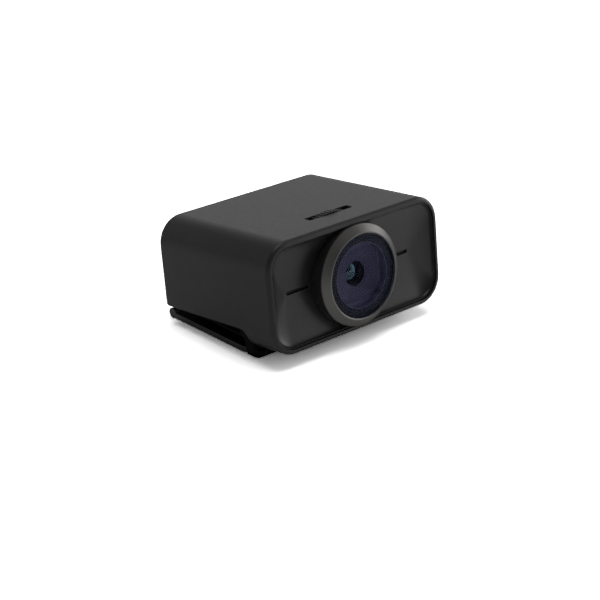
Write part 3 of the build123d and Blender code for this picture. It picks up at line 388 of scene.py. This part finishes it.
def outline_reach(angle, half_x, half_z, corner):
    """Distance from the centre to a rounded rectangle along a direction."""
    low, high = 0.0, half_x + half_z
    c, s = math.cos(angle), math.sin(angle)
    for _ in range(30):
        reach = (low + high) / 2
        if rounded_gap(reach * c, reach * s, half_x, half_z, corner) < 0:
            low = reach
        else:
            high = reach
    return low


def front_panel():
    """One smooth dish round the lens turret, with a narrow border and two microphone slots."""
    half_x = (panel_high[0] - panel_low[0]) / 2
    half_z = (panel_high[2] - panel_low[2]) / 2
    dish_x, dish_z = half_x - DISH_EDGE, half_z - DISH_EDGE
    angles = []
    for i in range(AROUND):
        turn = 2 * math.pi * i / AROUND
        angles.append(math.atan2(math.sin(turn) * SIDE_CROWDING, math.cos(turn)))
    bm = bmesh.new()

    def loop(reach_of, depth_of):
        made = []
        for angle in angles:
            reach = reach_of(angle)
            x, z = reach * math.cos(angle), reach * math.sin(angle)
            made.append(bm.verts.new((lens_x + x, front + depth_of(x, z), lens_z + z)))
        return made

    def edge(angle):
        return max(outline_reach(angle, dish_x, dish_z, DISH_CORNER), TURRET + CLEARANCE)

    def border(grow):
        return lambda a: max(outline_reach(a, dish_x + grow, dish_z + grow, DISH_CORNER + grow),
                             TURRET + CLEARANCE + grow * 0.3)

    def surface(x, z):
        return dish_depth(x, z, dish_x, dish_z)

    def front_reach(k):
        share = 1 - (1 - k / FRONT_ROWS) ** RIM_CROWDING
        return lambda a: TURRET + (edge(a) - TURRET) * share

    def back_reach(k):
        return lambda a: TURRET + (edge(a) - BACK_INSET - TURRET) * k / BACK_ROWS

    def back_depth(x, z):
        return max(surface(x, z) + SKIN, FLANK)

    rows = [loop(front_reach(k), surface) for k in range(FRONT_ROWS + 1)]
    for grow, depth in ((DISH_EDGE * 0.25, BORDER_DEPTH - CLEARANCE), (DISH_EDGE * 0.75, BORDER_DEPTH),
                        (DISH_EDGE, BORDER_DEPTH + BORDER_ROUND), (DISH_EDGE, FLANK)):
        rows.append(loop(border(grow), lambda x, z, depth=depth: depth))
    rows += [loop(back_reach(k), back_depth) for k in range(BACK_ROWS, -1, -1)]
    for radius, depth in ((TURRET, TURRET_BACK), (TURRET_BORE, TURRET_BACK), (TURRET_BORE, TURRET_TOP),
                          (TURRET - TURRET_ROUND, TURRET_TOP),
                          (TURRET - TURRET_CHAMFER, TURRET_TOP + TURRET_CHAMFER),
                          (TURRET, TURRET_TOP + TURRET_ROUND)):
        rows.append(loop(lambda a, radius=radius: radius, lambda x, z, depth=depth: depth))
    bridge(bm, rows + [rows[0]])
    mesh = mesh_of(bm, "front_panel_skin")
    for side in (-1, 1):
        mesh = cut(mesh, slot_tool(side))
    piece("front_panel_skin", mesh, "head", "panel", "front_panel")


def slot_tool(side):
    """Long round-ended bar that cuts one microphone slot."""
    inner, outer, width = SLOT
    bm = bmesh.new()
    ends = []
    for x, start in ((outer, -90), (inner, 90)):
        for i in range(13):
            a = math.radians(start + 15 * i)
            centre = x - math.copysign(width / 2, math.cos(math.radians(start + 90)))
            ends.append((lens_x + side * (centre + width / 2 * math.cos(a)),
                         lens_z + width / 2 * math.sin(a)))
    rows = [[bm.verts.new((x, front + depth, z)) for x, z in ends] for depth in SLOT_TOOL_DEPTHS]
    bridge(bm, rows)
    for row in rows:
        bm.faces.new(row)
    return mesh_of(bm, "slot_tool")


front_panel()


# ---------------------------------------------------------------- floor and light
FLOOR_DARK = 0.78
FLOOR_BRIGHT = 1.75
FLOOR_SEEN = 5.0
ROOM_LOW = 0.17
ROOM_HIGH = 0.07
BAND = 0.6
KEY = 2.0
BACKDROP = 1.2
ABOVE_TOWARD = Vector((0.1, 0, 0.995))
BAND_TOWARD = Vector((0.67, 0.74, 0))
GLOW = 2.0
RIGHT_TOWARD = Vector((0.96, -0.28, 0))


def lay_floor():
    """A flat pale floor under the clip, evenly over-exposed to the camera; to the object it shows a
    painted pool of light, brighter towards the right.
    """
    face = next(m for m in record["mounts"] if m["name"] == "rest_face")
    up = -Vector(face["axis"])
    mesh = bpy.data.meshes.new("floor")
    mesh.from_pydata([(x, y, 0) for x, y in ((-4, -4), (4, -4), (4, 4), (-4, 4))], [], [(0, 1, 2, 3)])
    floor = bpy.data.objects.new("floor", mesh)
    turn = up.to_track_quat("Z", "Y").to_matrix().to_4x4()
    floor.matrix_world = Matrix.Translation(Vector(face["pos_m"])) @ turn
    scene.collection.objects.link(floor)
    t = Tree("floor")
    seen = t.node("ShaderNodeLightPath").outputs["Is Camera Ray"]
    # To rays from the object the floor's tone is a painted pool of light: dark on the left, brighter
    # than white on the right.
    spread = t.dot(t.place, Vector((0.9, 0.1, 0)))
    painted_light_pool = t.mix(t.span(spread, 0.0, 1.0, -0.12, 0.14), rgb(FLOOR_DARK), rgb(FLOOR_BRIGHT))
    tone = t.mix(seen, painted_light_pool, rgb(FLOOR_SEEN))
    made = t.put(t.node("ShaderNodeBsdfDiffuse"), Color=tone, Roughness=t.span(t.noise(0.02), 0.4, 0.6))
    t.tree.links.new(made.outputs[0], t.out.inputs[0])
    mesh.materials.append(t.material)


def light_room():
    """White to the camera. To the object, a dim room with a low bright band behind it on the right,
    a glow from the right and a key light overhead."""
    world = bpy.data.worlds.new("room")
    scene.world = world
    world.use_nodes = True
    t = Tree.__new__(Tree)
    t.tree = world.node_tree
    t.tree.nodes.clear()
    toward = t.node("ShaderNodeTexCoord").outputs["Generated"]
    height = t.put(t.node("ShaderNodeSeparateXYZ"), Vector=toward).outputs["Z"]
    low = t.smooth(height, 0.68, 0.42)
    band = t.maths("MULTIPLY", low, t.smooth(t.dot(toward, BAND_TOWARD), -0.1, 0.8))
    glow = t.smooth(t.dot(toward, RIGHT_TOWARD), 0.72, 0.98)
    key = t.smooth(t.dot(toward, ABOVE_TOWARD), 0.86, 0.97)
    lights = t.maths("ADD", t.maths("MULTIPLY", band, BAND), t.maths("MULTIPLY", glow, GLOW))
    lights = t.maths("ADD", lights, t.maths("MULTIPLY", key, KEY))
    base = t.span(low, ROOM_HIGH, ROOM_LOW, 0.0, 1.0)
    room = t.put(t.node("ShaderNodeBackground"), Strength=t.maths("ADD", base, lights))
    white = t.put(t.node("ShaderNodeBackground"), Strength=BACKDROP)
    seen = t.node("ShaderNodeLightPath").outputs["Is Camera Ray"]
    pick = t.put(t.node("ShaderNodeMixShader"), Fac=seen)
    t.tree.links.new(room.outputs[0], pick.inputs[1])
    t.tree.links.new(white.outputs[0], pick.inputs[2])
    t.tree.links.new(pick.outputs[0], t.node("ShaderNodeOutputWorld").inputs[0])


lay_floor()
light_room()
scene.view_settings.view_transform = "Standard"


# ---------------------------------------------------------------- camera
AZIMUTH = math.radians(-40.17)
ELEVATION = math.radians(18.98)
ROLL = math.radians(-4.79)
DISTANCE = 753.3 * MM
FOCAL_LENGTH = 98.54
NEAREST_SEEN = 10 * MM
TARGET = Vector((-7.05, -14.98, 10.1)) * MM


def place_camera():
    """A camera at the photo's place, turn and lens, aimed at TARGET."""
    level_out = math.cos(ELEVATION)
    back = Vector((math.sin(AZIMUTH) * level_out, -math.cos(AZIMUTH) * level_out, math.sin(ELEVATION)))
    level = Vector((0, 0, 1)).cross(back).normalized()
    right = Matrix.Rotation(ROLL, 3, back) @ level
    up = back.cross(right)
    camera = bpy.data.objects.new("camera", bpy.data.cameras.new("camera"))
    camera.data.lens = FOCAL_LENGTH
    camera.data.clip_start = NEAREST_SEEN
    turn = Matrix((right, up, back)).transposed().to_4x4()
    camera.matrix_world = Matrix.Translation(TARGET + back * DISTANCE) @ turn
    scene.collection.objects.link(camera)
    scene.camera = camera


place_camera()
